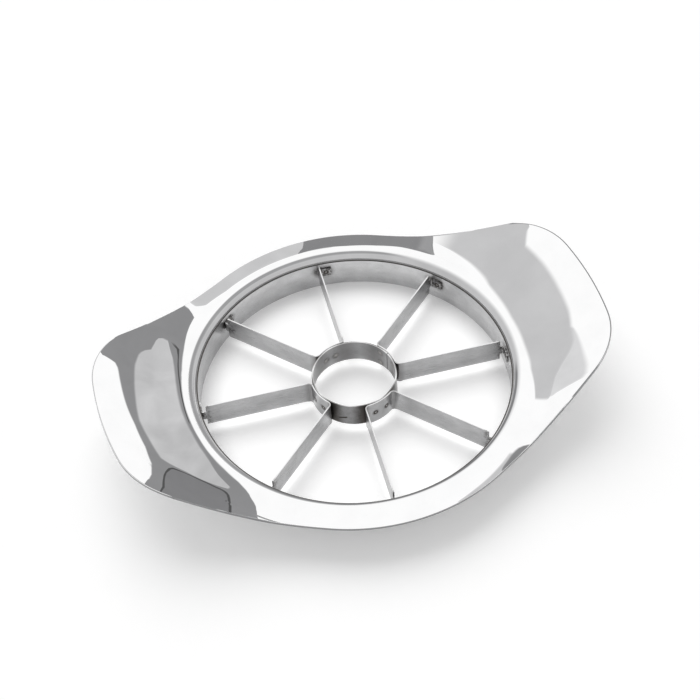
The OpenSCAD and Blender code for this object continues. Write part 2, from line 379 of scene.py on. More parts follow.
class Nodes:
    """Short hand for the node tree of a new material, or of the world."""

    def __init__(self, name, kind="materials", shader="Principled BSDF"):
        self.made = getattr(bpy.data, kind).new(name)
        self.made.use_nodes = True
        self.tree = self.made.node_tree
        self.shader = self.tree.nodes[shader]
        self.place = self.new("TexCoord").outputs["Object"]

    def put(self, value, socket):
        if hasattr(value, "is_output"):
            self.tree.links.new(value, socket)
        else:
            socket.default_value = value

    def new(self, kind, *values):
        """A new node with its first sockets filled."""
        node = self.tree.nodes.new("ShaderNode" + kind)
        for value, socket in zip(values, node.inputs):
            self.put(value, socket)
        return node

    def steel(self, colour, rough, normal):
        """The material as bare metal of that colour, roughness and relief."""
        for name, value in (("Base Color", colour), ("Roughness", rough), ("Normal", normal),
                            ("Metallic", 1.0)):
            self.put(value, self.shader.inputs[name])
        return self.made

    def surface(self, shader):
        """The material with another shader in the place of its first one."""
        self.tree.nodes.remove(self.shader)
        self.put(shader.outputs[0], self.tree.nodes["Material Output"].inputs["Surface"])
        return self.made

    def math(self, operation, *values, clamp=False):
        node = self.new("Math", *values)
        node.operation = operation
        node.use_clamp = clamp
        return node.outputs[0]

    def plus(self, a, b):
        return self.math("ADD", a, b)

    def less(self, a, b):
        return self.math("SUBTRACT", a, b)

    def most(self, a, b):
        return self.math("MAXIMUM", a, b)

    def size(self, a):
        """A value without its sign."""
        return self.math("ABSOLUTE", a)

    def times(self, a, b, *more):
        product = self.math("MULTIPLY", a, b)
        return self.times(product, *more) if more else product

    def far(self, a, b):
        """Length of the line whose two upright parts are a and b."""
        return self.math("SQRT", self.plus(self.times(a, a), self.times(b, b)))

    def parts(self):
        return self.new("SeparateXYZ", self.place).outputs

    def join(self, x, y, z):
        return self.new("CombineXYZ", x, y, z).outputs[0]

    def attribute(self, name):
        node = self.new("Attribute")
        node.attribute_name = name
        return node.outputs["Fac"]

    def noise(self, vector, scale, detail=2.0, rough=0.5, distortion=0.0):
        node = self.new("TexNoise", vector)
        for name, value in (("Scale", scale), ("Detail", detail), ("Roughness", rough),
                            ("Distortion", distortion)):
            node.inputs[name].default_value = value
        return node.outputs["Fac"]

    def spread(self, value, a, b, c, d, smooth=False):
        """Maps a value from the range a to b onto c to d."""
        node = self.new("MapRange", value, a, b, c, d)
        node.interpolation_type = "SMOOTHSTEP" if smooth else "LINEAR"
        return node.outputs[0]

    def shaded(self, shade, colour):
        """A colour, lighter or darker by a factor."""
        return self.join(*[self.times(shade, part) for part in colour])

    def blend(self, factor, a, b):
        node = self.new("Mix")
        node.data_type = "RGBA"
        self.put(factor, node.inputs["Factor"])
        for colour, name in ((a, "A"), (b, "B")):
            plain = not hasattr(colour, "is_output")
            self.put((*colour, 1.0) if plain else colour, node.inputs[name])
        return node.outputs["Result"]

    def bump(self, height, distance, under=None):
        node = self.new("Bump")
        node.inputs["Strength"].default_value = 1.0
        node.inputs["Distance"].default_value = distance
        self.put(height, node.inputs["Height"])
        if under is not None:
            self.put(under, node.inputs["Normal"])
        return node.outputs["Normal"]

    def upright(self, steep, flat):
        """1 on upright faces, falling to 0 as a face's upward share goes from steep to flat."""
        way = self.new("SeparateXYZ", self.new("TexCoord").outputs["Normal"])
        return self.spread(self.size(way.outputs["Z"]), steep, flat, 1.0, 0.0, smooth=True)

    def seen(self):
        """1 in what the camera sees, straight or mirrored."""
        path = self.new("LightPath")
        return self.most(path.outputs["Is Camera Ray"], path.outputs["Is Glossy Ray"])

    def near_weld(self, angle, z, places, period, r, inner, outer):
        """1 on spot welds that repeat round the axis, falling to 0 at an outer distance."""
        nearest = None
        for a, h in places:
            local = self.math("WRAP", self.less(angle, a), period / 2, -period / 2)
            far = self.far(self.times(local, r), self.less(z, h))
            nearest = far if nearest is None else self.math("MINIMUM", nearest, far)
        return self.spread(nearest, inner, outer, 1.0, 0.0, smooth=True)


def core_weld_places():
    """Spot welds on the core ring as position angle and height, for all strips."""
    s, w = sizes("strip"), sizes("welds")
    half = s.span / 2 - saddle_line(s)[2]
    middle = s.first + s.span / 2
    mid_z = s.low + s.high / 2
    places = [(middle + k * QUARTER + side * w.middle * half, mid_z)
              for k in (1, 2, 3) for side in (-1, 1)]
    places += [(middle + side * w.beside * half, s.low + h * s.high)
               for side in (-1, 1) for h in (w.lower, w.upper)]
    return places


def hoop_weld_places():
    """Spot welds on the tongues as position angle and height."""
    s = sizes("strip")
    r, _, bend = tongue_line(s)
    back = bend + s.tongue_l / r / 2
    return [(s.first + k * s.span - back, s.low + s.high / 2) for k in range(8)]


def polished_finish():
    """Mirror-polished sheet: long soft waves, fine polishing lines, duller spots and grey
    cut edges."""
    c = sizes("finish")
    n = Nodes("polished steel")
    x, y, z = n.parts()
    cloud = n.spread(n.noise(n.place, 120, 4.0, 0.6), 0.4, 0.75, 0.0, 0.12)
    outer = n.spread(n.far(x, y), 49 * MM, 50 * MM, 0.0, 1.0)  # the lip has no cut edge
    cut = n.times(n.upright(0.45, 0.65), outer)
    colour = n.blend(cut, n.blend(cloud, c.mirror, c.haze), c.cut)
    rough = n.spread(n.noise(n.place, 90, 3.0), 0.3, 0.7, 0.03, 0.075)
    waves = n.bump(n.noise(n.place, 45, 2.0, 0.4), 0.25 * MM)
    lines = n.noise(n.join(n.times(x, 0.12), y, z), 3000, 3.0, 0.6)
    return n.steel(colour, n.plus(rough, n.times(cut, 0.3)),
                   n.bump(lines, 0.0006 * MM, under=waves))


def strip_finish(name, colour, turned, marks, reach, tint_and_shade_strength=0.35, top=None, roots=0.0,
                 wide=0.12, outside=0.0, burnt=None):
    """Rolled strip with fine lines along it, a painted glint on its flat top and bottom faces
    and a dark tint round its spot welds. Marks are the welds' places and the angle at which
    they repeat, and reach is the strip's radius there with a mark's inner and outer distance.
    By the share roots, it is darker over the angle wide where blades leave the core ring.
    Below top, its upper border is painted dark, as the shade of the gap under the collar.
    The ring's outside is darker by a share, and has a short scorched line. Past the radius
    burnt, the strip is scorched in flecks."""
    c, s = sizes("finish"), sizes("strip")
    n = Nodes(name)
    x, y, z = n.parts()
    r, angle = n.far(x, y), n.math("ARCTAN2", y, x)
    along = n.times(angle, 0.02 if turned else 0.03)
    grain = n.join(along, 0.0, z) if turned else n.join(n.times(r, 0.03), along, z)
    fine = n.noise(grain, 5200, 4.0, 0.65)
    broad = n.noise(n.join(n.times(x, 0.6), n.times(y, 0.6), z), 260, 4.0, 0.6)
    shade = n.plus(n.spread(fine, 0.3, 0.7, 0.90, 1.08), n.spread(broad, 0.3, 0.7, -0.14, 0.10))
    # Painted highlight: faces that look up or down are painted near white, as the strips' edge
    # glint
    painted_glint = n.less(1.0, n.upright(0.25, 0.6))
    skin = n.blend(n.times(painted_glint, 0.95), n.shaded(shade, colour), c.bright)
    heat_tint_and_shade = n.near_weld(angle, z, *marks, *reach)
    ragged = n.spread(n.noise(n.place, 900, 4.0, 0.7), 0.35, 0.65, 0.35, 1.0)
    heat_tint_and_shade = n.math("MULTIPLY", n.times(heat_tint_and_shade, ragged), tint_and_shade_strength * 2.2, clamp=True)
    # Darker where the blades leave the core ring, and on the ring's outside
    if roots:
        local = n.math("WRAP", n.less(angle, s.first + s.span / 2), math.pi / 4, -math.pi / 4)
        off = n.size(n.less(n.size(local), s.span / 2))
        drift = n.times(n.less(ragged, 0.75), 0.08)
        root = n.spread(n.plus(off, drift), 0.03, wide, roots, 0.0, smooth=True)
        near = n.spread(r, s.core_r + 1.2 * MM, s.core_r + 3.2 * MM, 1.0, 0.0, smooth=True)
        out = n.spread(r, s.core_r - 0.3 * MM, s.core_r - 0.1 * MM, 0.4, 1.0)
        heat_tint_and_shade = n.most(heat_tint_and_shade, n.times(root, near, out))
        if outside:
            wall = n.spread(r, s.core_r - 0.1 * MM, s.core_r - 0.02 * MM, 0.0, outside)
            heat_tint_and_shade = n.most(heat_tint_and_shade, n.times(wall, ragged))
            past = n.less(angle, SCORCH)
            rise = n.less(n.less(z, s.low + 2.6 * MM), n.times(past, 3.5 * MM))
            thin = n.spread(n.size(rise), 0.22 * MM, 0.46 * MM, 1.0, 0.0, smooth=True)
            short = n.spread(n.size(past), math.radians(5), math.radians(8), 1.0, 0.0,
                             smooth=True)
            heat_tint_and_shade = n.most(heat_tint_and_shade, n.times(thin, short, out))
    # Painted shade: the upper border is darkened as the shade of the gap under the collar
    if top is not None:
        rim = n.spread(z, top - 0.2 * MM, top - 0.08 * MM, 0.0, 0.93, smooth=True)
        brow = n.spread(r, reach[0] + 0.36 * MM, reach[0] + 0.46 * MM, 1.0, 0.3)
        heat_tint_and_shade = n.most(heat_tint_and_shade, n.times(rim, brow))
    # Blends in the weld tint together with the painted shade of the hoop's corners and of the
    # gap under the collar, and the darker roots
    skin = n.blend(heat_tint_and_shade, skin, c.tint)
    if burnt is not None:
        wander = n.plus(n.times(n.noise(n.place, 420, 5.0), 7 * MM), r)
        burn = n.spread(wander, burnt + 1.2 * MM, burnt + 4.6 * MM, 0.0, 0.84, smooth=True)
        flecks = n.spread(n.noise(n.place, 1500, 3.0), 0.47, 0.58, 1.0, 0.12)
        skin = n.blend(n.times(burn, flecks), skin, c.tint)
    return n.steel(skin, n.plus(n.spread(fine, 0.3, 0.7, 0.24, 0.34), n.times(heat_tint_and_shade, 0.15)),
                   n.bump(fine, 0.002 * MM, under=n.bump(broad, 0.01 * MM)))


def weld_finish():
    """Spot weld: pale middle with a dark ring of burnt steel, sooty on the tongues."""
    c, s = sizes("finish"), sizes("strip")
    n = Nodes("spot weld")
    x, y, _ = n.parts()
    r = n.far(x, y)
    speck = n.noise(n.place, 3500, 3.0, 0.7)
    uneven = n.plus(n.attribute("across"), n.spread(speck, 0.3, 0.7, -0.12, 0.12))
    ring = n.times(n.spread(uneven, 0.22, 0.55, 0.0, 1.0, smooth=True),
                   n.spread(uneven, 0.9, 1.05, 1.0, 0.35, smooth=True),
                   n.spread(r, s.core_r - 0.3 * MM, s.core_r, 0.4, 1.0))
    soot = n.times(n.spread(r, s.hoop_r - 6 * MM, s.hoop_r - 4 * MM, 0.0, 0.6),
                   n.spread(r, s.hoop_r - 0.3 * MM, s.hoop_r, 1.0, 0.3),
                   n.spread(speck, 0.4, 0.6, 0.5, 1.0))
    return n.steel(n.blend(n.most(ring, soot), c.weld, c.tint),
                   n.spread(speck, 0.3, 0.7, 0.28, 0.5), n.bump(speck, 0.01 * MM))


# Operators

class SLICER_OT_plate(Operator):
    """Spins the sheet's section and draws its rim out to the wings"""
    bl_idname = "slicer.plate"
    bl_label = "Frame plate"

    def execute(self, context):
        s = sizes("plate")
        line = plate_line(s)
        upper, lower = outward(beside(line, 0)), outward(beside(line, -s.sheet))
        # The plate is drawn out to the wings between these radii, on that many rings
        draw_r = s.collar_r + s.lip_r + 2.2 * MM
        outer_r = s.long / 2 + 4 * MM
        rings = 60
        bend = len([p for p, a in line if a > -s.fall and p.x <= s.collar_r + s.lip_r])

        def spaced(t):
            return draw_r + (outer_r - draw_r) * t

        stops = [i / rings for i in range(rings - 1)]
        stops += [stops[-1] + (1 - stops[-1]) * f for f in (0.5, 1.0)]
        tops = [p for p, a in line[:bend + 1] if p.x < draw_r - 0.4 * MM]
        unders = [p for p in beside(line[:bend + 1], -s.sheet) if p.x < draw_r - 0.4 * MM]
        tops.insert(1, (tops[0] + tops[1]) / 2)
        section = [Vector((p.x, 0, p.y)) for p in tops]
        section += [Vector((spaced(t), 0, along(*upper, spaced(t)))) for t in stops]
        section += [Vector((spaced(t), 0, along(*lower, spaced(t)))) for t in reversed(stops)]
        section += [Vector((p.x, 0, p.y)) for p in reversed(unders)]

        bm = bmesh.new()
        verts, edges = loop_of(bm, section)
        turned_edges(bm, verts + edges, ROUND_STEPS)
        outline = wing_outline(s)
        rim = {}
        for v in bm.verts:
            r = math.hypot(v.co.x, v.co.y)
            if r < draw_r - 1e-7:
                continue
            angle = math.atan2(v.co.y, v.co.x)
            key = round(angle, 5)
            if key not in rim:
                rim[key] = outline(angle)
            t = (r - draw_r) / (outer_r - draw_r)
            on_top = v.co.z > along(*upper, r) - s.sheet * 0.3
            new_r = draw_r + (rim[key] - draw_r) * t
            new_z = along(*(upper if on_top else lower), new_r)
            v.co = Vector((new_r * math.cos(angle), new_r * math.sin(angle), new_z))
            v.tag = t > 1 - 1e-6
        cut = []
        for e in bm.edges:
            a, b = e.verts
            if a.tag and b.tag and abs(a.co.z - b.co.z) < s.sheet * 0.5:
                cut.append(e)
            elif max(a.co.z, b.co.z) < s.collar_low + 0.01 * MM:
                if abs(math.hypot(*a.co.xy) - math.hypot(*b.co.xy)) < 0.1 * MM:
                    cut.append(e)
        bmesh.ops.bevel(bm, geom=cut, offset=s.edge, offset_type="OFFSET", segments=2,
                        profile=0.5, affect="EDGES", clamp_overlap=True, material=-1)
        new_piece("pressed_plate", bm, polished_finish(), ("frame_plate",),
                  sharp=50)
        return {"FINISHED"}


class SLICER_OT_hoop(Operator):
    """Rolls the hoop from a strip with broken edges and closes it with its weld"""
    bl_idname = "slicer.hoop"
    bl_label = "Blade hoop"

    def execute(self, context):
        s, c = sizes("strip"), sizes("finish")
        r_in = s.hoop_r - s.hoop_t
        gap = s.hoop_seam_w / s.hoop_r
        # Painted shade: the hoop is also darkened in the corner behind each blade
        painted_corner_shade = (s.first - math.radians(0.8), s.low + s.high * 0.55)
        finish = strip_finish("satin strip", c.satin, True,
                              (hoop_weld_places()[:1] + [painted_corner_shade], s.span),
                              (r_in, 1.0 * MM, 3.5 * MM), 0.45, top=s.hoop_h)
        band = rolled_strip(ring_section(r_in, s.hoop_r, 0, s.hoop_h, s.chamfer),
                            s.hoop_seam + gap / 2, ROUND - gap, ROUND_STEPS)
        new_piece("rolled_hoop", band, finish, ("blade_hoop",))
        finish = strip_finish("seam bead", c.weld, True,
                              ([(s.hoop_seam, s.hoop_h / 2)], ROUND),
                              (r_in, 1.0 * MM, 9 * MM), 0.2, top=s.hoop_h)
        proud = ring_section(r_in - 0.03 * MM, s.hoop_r, 0, s.hoop_h, s.chamfer * 2)
        bead = rolled_strip(proud, s.hoop_seam - gap / 2, gap, BEAD_STEPS)
        new_piece("hoop_seam_bead", bead, finish, ("hoop_seam_weld",))
        return {"FINISHED"}


class SLICER_OT_core_ring(Operator):
    """Rolls the split core ring with its inside bevel"""
    bl_idname = "slicer.core_ring"
    bl_label = "Core ring"

    def execute(self, context):
        s = sizes("strip")
        r_in, high, c = s.core_r - s.core_t, s.low + s.high, s.chamfer
        rows = ((s.core_r - s.edge, s.low), (s.core_r, s.low), (s.core_r, high - c),
                (s.core_r - c, high), (r_in + c, high), (r_in, high - c),
                (r_in, s.low + s.bevel))
        finish = strip_finish("ring strip", sizes("finish").ring, True,
                              (core_weld_places(), ROUND), (s.core_r, 0.7 * MM, 2.0 * MM),
                              roots=0.95, wide=0.42, outside=0.3)
        gap = s.core_seam_w / s.core_r
        band = rolled_strip([Vector((r, 0, z)) for r, z in rows], s.core_seam + gap / 2,
                            ROUND - gap, RING_STEPS)
        new_piece("rolled_core_ring", band, finish, ("core_ring",))
        return {"FINISHED"}


class SLICER_OT_blades(Operator):
    """Bends the four blade strips, each with two blades, a saddle and two weld tongues"""
    bl_idname = "slicer.blades"
    bl_label = "Blade strips"

    def execute(self, context):
        s = sizes("strip")
        half, mid, top = s.thick / 2, s.low + s.high / 2, s.low + s.high
        saddle_r, inner, saddle_a = saddle_line(s)
        tongue_r, outer, tongue_a = tongue_line(s)
        end = s.hoop_r - s.hoop_t - s.blade_gap
        ramp = 0.8 * MM  # length over which the bevel runs out before a saddle
        levels = [(s.edge / 2, s.low), (half, s.low + s.bevel), (half, mid - s.tongue_h / 2),
                  (half, mid + s.tongue_h / 2), (half, top - s.chamfer),
                  (half - s.chamfer, top)]
        finish = strip_finish("blade steel", sizes("finish").blade, False,
                              (core_weld_places(), ROUND), (saddle_r, 0.6 * MM, 1.5 * MM),
                              roots=0.35, burnt=end)

        def section(bm, at, heading):
            side = unit(heading + QUARTER)
            left = [(at + off * side, z) for off, z in levels]
            right = [(at - off * side, z) for off, z in reversed(levels)]
            return loop_of(bm, [Vector((p.x, p.y, z)) for p, z in left + right])[1]

        def moved(bm, edges, shift, at, heading, width=None):
            """Draws a ring of edges out by a shift and gives the new ring. With a width, the
            new ring's lowest points move to that distance from the strip's middle."""
            geom = bmesh.ops.extrude_edge_only(bm, edges=edges)["geom"]
            verts = [v for v in geom if isinstance(v, bmesh.types.BMVert)]
            bmesh.ops.translate(bm, verts=verts, vec=(shift.x, shift.y, 0))
            ahead, side = unit(heading), unit(heading + QUARTER)
            for v in verts:
                if width and abs(v.co.z - s.low) < 1e-6:
                    sign = 1 if (v.co.xy - at).dot(side) > 0 else -1
                    spot = at + sign * width * side
                    v.co = Vector((spot.x, spot.y, s.low))
            return [e for e in geom if isinstance(e, bmesh.types.BMEdge)
                    and all(abs((v.co.xy - at).dot(ahead)) < 1e-6 for v in e.verts)]

        def bent(bm, edges, at, heading, bend, r):
            out = heading - math.copysign(QUARTER, bend)
            centre = at - r * unit(out)
            steps = max(2, math.ceil(abs(bend) / math.radians(3)))
            edges = spun_edges(bm, edges, (centre.x, centre.y, 0), bend, steps)
            return edges, centre + r * unit(out + bend), heading + bend

        def blade(bm, edges, at, angle, heading, stops):
            """Draws a ring on along a blade, by way of its stops: a radius and a width."""
            for stop, width in stops:
                goal = stop * unit(angle)
                edges = moved(bm, edges, goal - at, goal, heading, width)
                at = goal
            return edges, at

        def tongue(bm, ring, at, heading):
            """Closes a blade's end round the tongue and bends the tongue along the hoop."""
            side = unit(heading + QUARTER)
            verts = {v for e in ring for v in e.verts}
            left, right = (sorted((v for v in verts if (v.co.xy - at).dot(side) * sign > 0),
                                  key=lambda v: v.co.z) for sign in (1, -1))
            bm.faces.new(left[:3] + right[:3][::-1])
            bm.faces.new(left[3:] + right[3:][::-1])
            loop = [left[2], left[3], right[3], right[2]]
            edges = [bm.edges.get(pair) or bm.edges.new(pair)
                     for pair in zip(loop, loop[1:] + loop[:1])]
            run = (outer - end) * unit(heading)
            at = at + run
            edges = moved(bm, edges, run, at, heading)
            for bend, r in ((-QUARTER - tongue_a, s.tongue_bend),
                            (-s.tongue_l / tongue_r, tongue_r)):
                edges, at, heading = bent(bm, edges, at, heading, bend, r)
            bmesh.ops.contextual_create(bm, geom=edges)

        for k in range(4):
            start_a = s.first + k * QUARTER
            end_a = start_a + s.span
            bm = bmesh.new()
            at, heading = end * unit(start_a), start_a + math.pi
            first = section(bm, at, heading)
            edges, at = blade(bm, list(first), at, start_a, heading,
                              ((inner + ramp, None), (inner, half)))
            for bend, r in ((saddle_a - QUARTER, s.bend), (s.span - 2 * saddle_a, saddle_r),
                            (saddle_a - QUARTER, s.bend)):
                edges, at, heading = bent(bm, edges, at, heading, bend, r)
            edges, at = blade(bm, edges, at, end_a, heading,
                              ((inner + ramp, s.edge / 2), (end, None)))
            tongue(bm, edges, at, end_a)
            tongue(bm, first, end * unit(start_a), start_a)
            new_piece(f"bent_blade_strip_{k + 1}", bm, finish, (f"blade_strip_{k + 1}",),
                      sharp=25)
        return {"FINISHED"}


def weld_buttons(name, places, d, faces, replaces):
    """Dented spot welds on round walls. A face is a radius, and 1 for outwards or -1 for
    inwards. A point of the profile is a share of the weld's radius and of the ridge's height."""
    ridge = sizes("welds").rise
    profile = [(0.0, 0.15), (0.35, 0.2), (0.55, 0.35), (0.72, 0.9), (0.84, 1.0), (0.94, 0.5),
               (1.0, -0.6), (1.0, -2.0), (0.0, -2.0)]
    bm = bmesh.new()
    across = bm.verts.layers.float.new("across")
    for angle, z in places:
        for r, way in faces:
            before = set(bm.verts)
            verts = [bm.verts.new((u * d / 2, 0, h * ridge)) for u, h in profile]
            edges = [bm.edges.new(pair) for pair in zip(verts, verts[1:])]
            turned_edges(bm, verts + edges, WELD_STEPS)
            for v in set(bm.verts) - before:
                x, y, out = v.co
                v[across] = min(1.0, math.hypot(x, y) * 2 / d)
                a, depth = angle + x / r, r + way * out
                v.co = Vector((depth * math.cos(a), depth * math.sin(a), z + y))
    bmesh.ops.remove_doubles(bm, verts=bm.verts, dist=1e-6)
    new_piece(name, bm, weld_finish(), replaces, sharp=60)


class SLICER_OT_welds(Operator):
    """Sets the dented spot welds on the core ring, the saddles, the tongues and the collar"""
    bl_idname = "slicer.welds"
    bl_label = "Spot welds"

    def execute(self, context):
        s, w, p = sizes("strip"), sizes("welds"), sizes("plate")
        saddle = s.core_r + s.saddle_gap + s.thick
        tongue = s.hoop_r - s.hoop_t - s.tongue_gap - s.thick
        weld_buttons("core_weld_dents", core_weld_places(), w.core_d,
                     ((saddle, 1), (s.core_r - s.core_t, -1)), ("core_spot_welds",))
        weld_buttons("hoop_weld_dents", hoop_weld_places(), w.hoop_d,
                     ((tongue, -1), (p.collar_r + p.sheet, 1)), ("hoop_spot_welds",))
        return {"FINISHED"}


class SLICER_OT_stage(Operator):
    """Lays the floor and sets the reflector cards, the painted reflections, the lights and the
    camera
    """
    bl_idname = "slicer.stage"
    bl_label = "Stage"

    def execute(self, context):
        self.floor()
        self.world()
        self.cards()
        self.camera()
        scene = bpy.context.scene
        scene.view_settings.view_transform = "Standard"
        return {"FINISHED"}

    def floor(self):
        """A pale round floor that is a little brighter to the camera, with painted light inside
        the hoop that lightens the shadows there.
        """
        s = sizes("stage")
        bm = bmesh.new()
        bmesh.ops.create_circle(bm, cap_ends=True, radius=FLOOR_R, segments=96)
        floor = linked("floor", bm)
        n = Nodes("floor")
        x, y, _ = n.parts()
        mottle = n.spread(n.noise(n.place, 6, 2.0), 0.3, 0.7, 0.995, 1.0)
        # Painted light: the floor glows brighter inside the hoop, which lightens the shadows
        # there
        inside = n.spread(n.far(x, y), 38 * MM, 47 * MM, s.inside, 0.0, smooth=True)
        matt = n.new("BsdfDiffuse", n.shaded(mottle, s.floor))
        glow = n.new("Emission")
        n.put(n.times(n.seen(), n.plus(s.lift, inside)), glow.inputs["Strength"])
        both = n.new("AddShader", matt.outputs[0], glow.outputs[0])
        floor.data.materials.append(n.surface(both))

    def world(self):
        """Even light from all round, and a soft light from the far side."""
        s = sizes("stage")
        n = Nodes("studio", "worlds", "Background")
        n.put((1, 1, 1, 1), n.shader.inputs["Color"])
        n.put(n.spread(n.seen(), 0.0, 1.0, s.sky, 1.0), n.shader.inputs["Strength"])
        scene = bpy.context.scene
        scene.world = n.made
        light = bpy.data.lights.new("window", "SUN")
        light.energy, light.angle = s.sun, s.window
        window = bpy.data.objects.new("window", light)
        scene.collection.objects.link(window)
        window.visible_glossy = False
        window.rotation_euler = WINDOW.to_track_quat("Z", "Y").to_euler()

    def card(self, name, corners, colour):
        """A card on a great dome round the part. Its corners are directions: position angle
        and height angle, in whole degrees."""
        bm = bmesh.new()
        bm.faces.new([bm.verts.new((az / 100, el / 100, 0)) for az, el in corners])
        for axis, (low, high) in enumerate((min(c), max(c)) for c in zip(*corners)):
            for at in range(low + CARD_STEP, high, CARD_STEP):
                spot, normal = Vector((0, 0, 0)), Vector((0, 0, 0))
                spot[axis], normal[axis] = at / 100, 1
                bmesh.ops.bisect_plane(bm, geom=bm.verts[:] + bm.edges[:] + bm.faces[:],
                                       plane_co=spot, plane_no=normal)
        for v in bm.verts:
            az, el = math.radians(v.co.x * 100), math.radians(v.co.y * 100)
            v.co = DOME_R * Vector((math.cos(el) * math.cos(az), math.cos(el) * math.sin(az),
                                    math.sin(el)))
        self.glowing(name, bm, colour)

    def flag(self, name, rows, away, colour, soft=0.03, cloud=0.06, tail=5.0, inner_soft=True):
        """A glowing card held close over the plate and shaped from the camera's place, so that
        it paints a fixed reflection into a zone of the sheet. A row of the zone is a position
        angle in degrees, an inner and an outer radius in millimetres. A radius below 0 counts
        inwards from the plate's edge, and one of 80 lies past it. Away is the card's distance
        from the sheet in millimetres. A smaller tail is a longer fade at the last row."""
        s = sizes("plate")
        line = plate_line(s)[1:]
        radii, heights, tilts = zip(*[(p.x, p.y, a) for p, a in line])
        outline = wing_outline(s)
        eye = self.camera_axes()[3]
        angles, inners, outers = zip(*rows)
        bm = bmesh.new()
        across = max(8, int((angles[-1] - angles[0]) / FLAG_STEP))
        bmesh.ops.create_grid(bm, x_segments=across, y_segments=FLAG_ROWS, size=0.5)
        edge = bm.verts.layers.float.new("from_edge")
        for v in bm.verts:
            ends = min(5 * (0.5 + v.co.x), tail * (0.5 - v.co.x))
            within = min(ends, 0.5 + v.co.y if inner_soft else 1.0)
            v[edge] = min(within, 0.5 - v.co.y)
            a = angles[0] + (angles[-1] - angles[0]) * (v.co.x + 0.5)
            inner, outer = along(angles, inners, a) * MM, along(angles, outers, a) * MM
            a = math.radians(a)
            if outer > outline(a):
                outer = outline(a) + 0.3 * MM
                v[edge] = within
            if inner < 0:
                inner += outline(a)
            r = inner + (outer - inner) * (v.co.y + 0.5)
            tilt = along(radii, tilts, r)
            normal = Vector((-math.sin(tilt) * math.cos(a), -math.sin(tilt) * math.sin(a),
                             math.cos(tilt)))
            spot = Vector((r * math.cos(a), r * math.sin(a), along(radii, heights, r)))
            view = (eye - spot).normalized()
            v.co = spot + away * MM * (2 * normal.dot(view) * normal - view)
        self.glowing(name, bm, colour, soft, cloud)

    def glowing(self, name, bm, colour, soft=0.0, cloud=0.06):
        """A card that is only seen mirrored in the part, with a slightly clouded brightness.
        With softness it fades out towards its borders."""
        piece = linked(name, bm)
        n = Nodes(name)
        clouds = n.spread(n.noise(n.place, 75, 4.0, 0.5, 0.6), 0.3, 0.7, 1 - cloud, 1 + cloud)
        shader = n.new("Emission", n.shaded(clouds, colour))
        if soft:
            held = n.spread(n.attribute("from_edge"), 0.0, soft, 0.0, 1.0, smooth=True)
            clear = n.new("BsdfTransparent")
            shader = n.new("MixShader", held, clear.outputs[0], shader.outputs[0])
        piece.data.materials.append(n.surface(shader))
        for way in ("camera", "diffuse", "transmission", "volume_scatter", "shadow"):
            setattr(piece, f"visible_{way}", False)

    def cards(self):
        s = sizes("stage")
        self.card("card_behind", [(-172, 12), (-30, 12), (-30, 80), (-172, 80)], s.grey)
        self.card("card_round", [(-180, 1), (180, 1), (180, 7), (-180, 7)], s.dark)
        # From here on, painted reflections: glowing cards under 2 mm over the sheet, shaped from
        # the camera's place
        self.flag("flag_lip", [
            (-205, 46.66, 48.7), (-130, 46.66, 48.6), (-60, 46.66, 48.6), (0, 46.66, 48.9),
            (60, 46.66, 48.9), (120, 46.66, 48.8), (180, 46.66, 48.7), (205, 46.66, 48.7)],
            0.6, s.lip, 0.7, inner_soft=False)
        self.flag("flag_lip_edge", [
            (46, 47.6, 48.1), (62, 47.4, 48.4), (90, 47.3, 48.5), (130, 47.3, 48.6),
            (160, 47.2, 48.7), (180, 47, 48.7), (215, 46.9, 48.6), (262, 46.9, 48.3)],
            0.5, s.lip_edge, 0.35)
        self.flag("flag_lip_near", [
            (212, 46.9, 47.8), (250, 46.9, 48.2), (270, 46.9, 48.1), (300, 46.9, 48),
            (345, 46.9, 47.6)], 0.4, s.left_box, 0.3, inner_soft=False)
        self.flag("flag_right_edge", [(-34, -0.4, 80), (27, -0.4, 80)], 0.9, s.left_box,
                  0.05)
        self.flag("flag_left_edge", [(156, -0.28, 80), (206, -0.28, 80)], 0.9, s.right, 0.05)
        self.flag("flag_left", [
            (132.5, 57, 80), (134.5, 53.5, 80), (138.5, 53.2, 80), (142.5, 52.6, 80),
            (149, 51.4, 80), (158, 50.3, 80), (159.8, 50.3, 80), (160.2, 50.3, 73),
            (161, 50.2, 69.5), (163, 50.2, 68.3), (168, 50, 67.5), (174.5, 49.8, 66.7),
            (180.5, 49.6, 65.9), (188.5, 49.5, 65.9), (194.5, 49.6, 67.3), (198, 49.6, 69.8),
            (199.5, 49.6, 72), (200.2, 49.6, 80), (204, 49.7, 80), (211, 50.3, 80),
            (215.5, 51.4, 80), (220.5, 54, 80), (224.5, 59, 80)], 1.9, s.left)
        self.flag("flag_left_patch", [
            (146.5, 57.2, 58.2), (148, 56.4, 60), (150, 55.4, 60.2), (153, 53.9, 60.7),
            (154, 53.6, 62.6), (156, 53, 63.5), (160, 52.2, 64.1), (164, 51.7, 64),
            (170.5, 51.2, 64), (179, 50.8, 64.4), (185.5, 50.5, 63.8), (192.5, 50.7, 63.6),
            (195, 50.8, 62.1), (198.5, 51.2, 59.4), (202, 51.9, 57.6), (204.5, 52.4, 56.4),
            (208.5, 52.9, 54.6), (210.5, 53.2, 53.8)],
            1.6, s.left_patch, 0.06, 0.13)
        self.flag("flag_left_line", [
            (146.5, 55.4, 56.8), (149, 52.9, 54), (152, 52.4, 52.9), (158, 51.5, 52),
            (164, 50.7, 51.2), (172, 50.2, 50.7), (182, 50.2, 50.5)], 1.4, s.line, 0.25)
